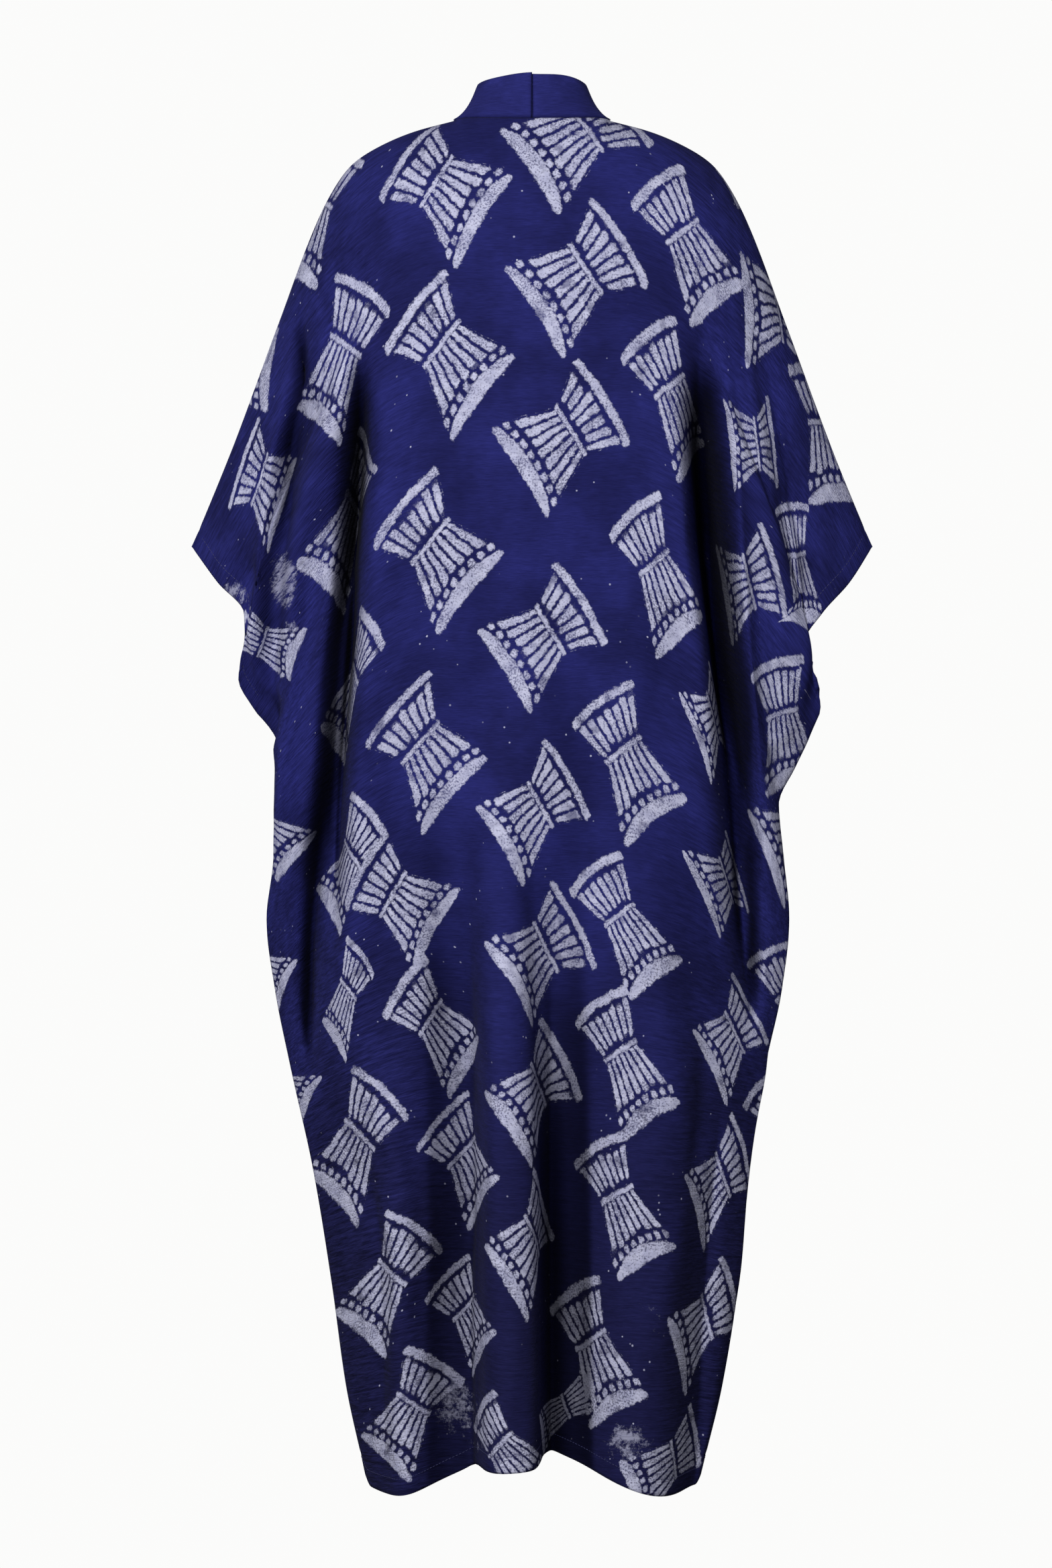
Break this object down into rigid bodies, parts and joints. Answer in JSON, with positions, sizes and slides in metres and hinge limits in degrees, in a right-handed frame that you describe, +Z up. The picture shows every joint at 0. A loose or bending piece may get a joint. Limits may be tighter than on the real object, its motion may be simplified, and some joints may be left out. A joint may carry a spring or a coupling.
{
  "type": "kaftan",
  "caption": "Ankle-length open kaftan in wax-resist printed cotton, in its worn form, with wide cut-in-one sleeves and a long plain neckband that stands as a collar.",
  "frame": {"origin": "middle of the wearer's neck, level with the seam at the foot of the collar at the centre back", "axes": "+Z up, +X to the wearer's left, -Y the way the wearer faces, so the back of the kaftan is on the +Y side"},
  "size_m": [0.66, 0.2931, 1.3552],
  "materials": {
    "indigo_print": "crinkled cotton, indigo with pale wax-resist drums",
    "indigo_plain": "plain indigo cotton"
  },
  "bodies": {
    "root": {"back": "indigo_print", "front_left": "indigo_print", "front_right": "indigo_print", "neckband_left": "indigo_plain", "neckband_right": "indigo_plain"}
  },
  "joints": []
}
